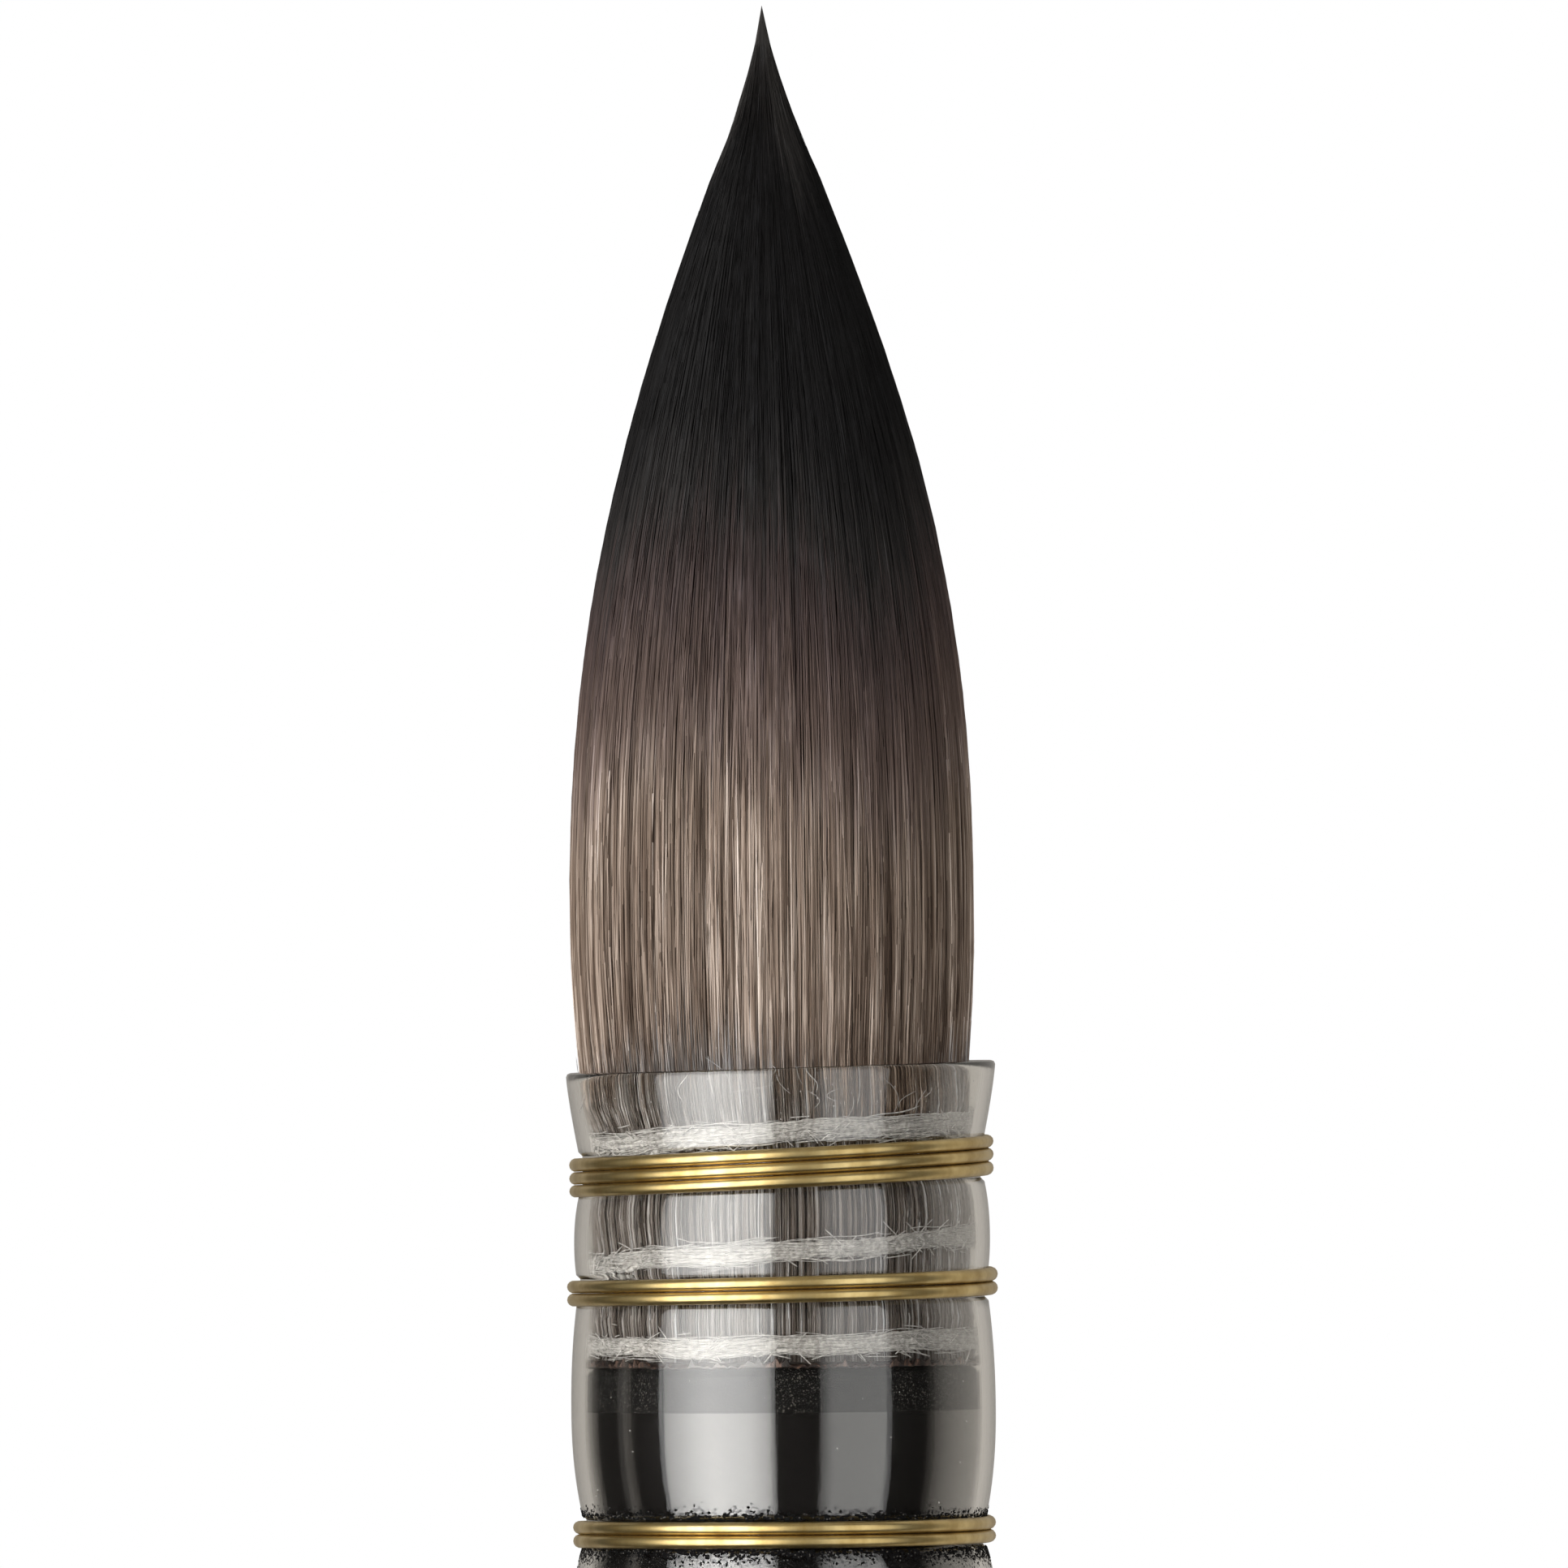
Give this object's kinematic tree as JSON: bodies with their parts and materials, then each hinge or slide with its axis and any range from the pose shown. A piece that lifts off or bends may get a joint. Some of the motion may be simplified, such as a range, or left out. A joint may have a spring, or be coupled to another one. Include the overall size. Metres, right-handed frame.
{
  "type": "quill mop brush",
  "caption": "Large soft-hair watercolour brush: pointed hair head tied with cotton in a clear quill, bound with brass wire to a black lacquered wooden handle.",
  "frame": {"origin": "on the brush's axis, at the butt of the handle", "axes": "+Z along the brush towards the point of the hair, +X to the right of the view in which the wire turns rise to the right"},
  "size_m": [0.014, 0.0142, 0.2],
  "materials": {
    "hair": "soft dark hair, nearly black at the point and brown-grey towards the quill",
    "resin": "glossy red-brown resin",
    "cotton_thread": "matt white cotton",
    "clear_quill": "clear and glossy",
    "brass_wire": "drawn and bright",
    "lacquered_wood": "gloss black lacquer over turned wood, raw at the tenon's end"
  },
  "bodies": {
    "root": {"hair_bundle": "hair", "root_glue": "resin", "thread_tie_upper": "cotton_thread", "thread_tie_middle": "cotton_thread", "thread_tie_lower": "cotton_thread", "quill": "clear_quill", "wire_binding_1": "brass_wire", "wire_binding_2": "brass_wire", "wire_binding_3": "brass_wire", "wire_binding_4": "brass_wire", "handle": "lacquered_wood"}
  },
  "joints": []
}
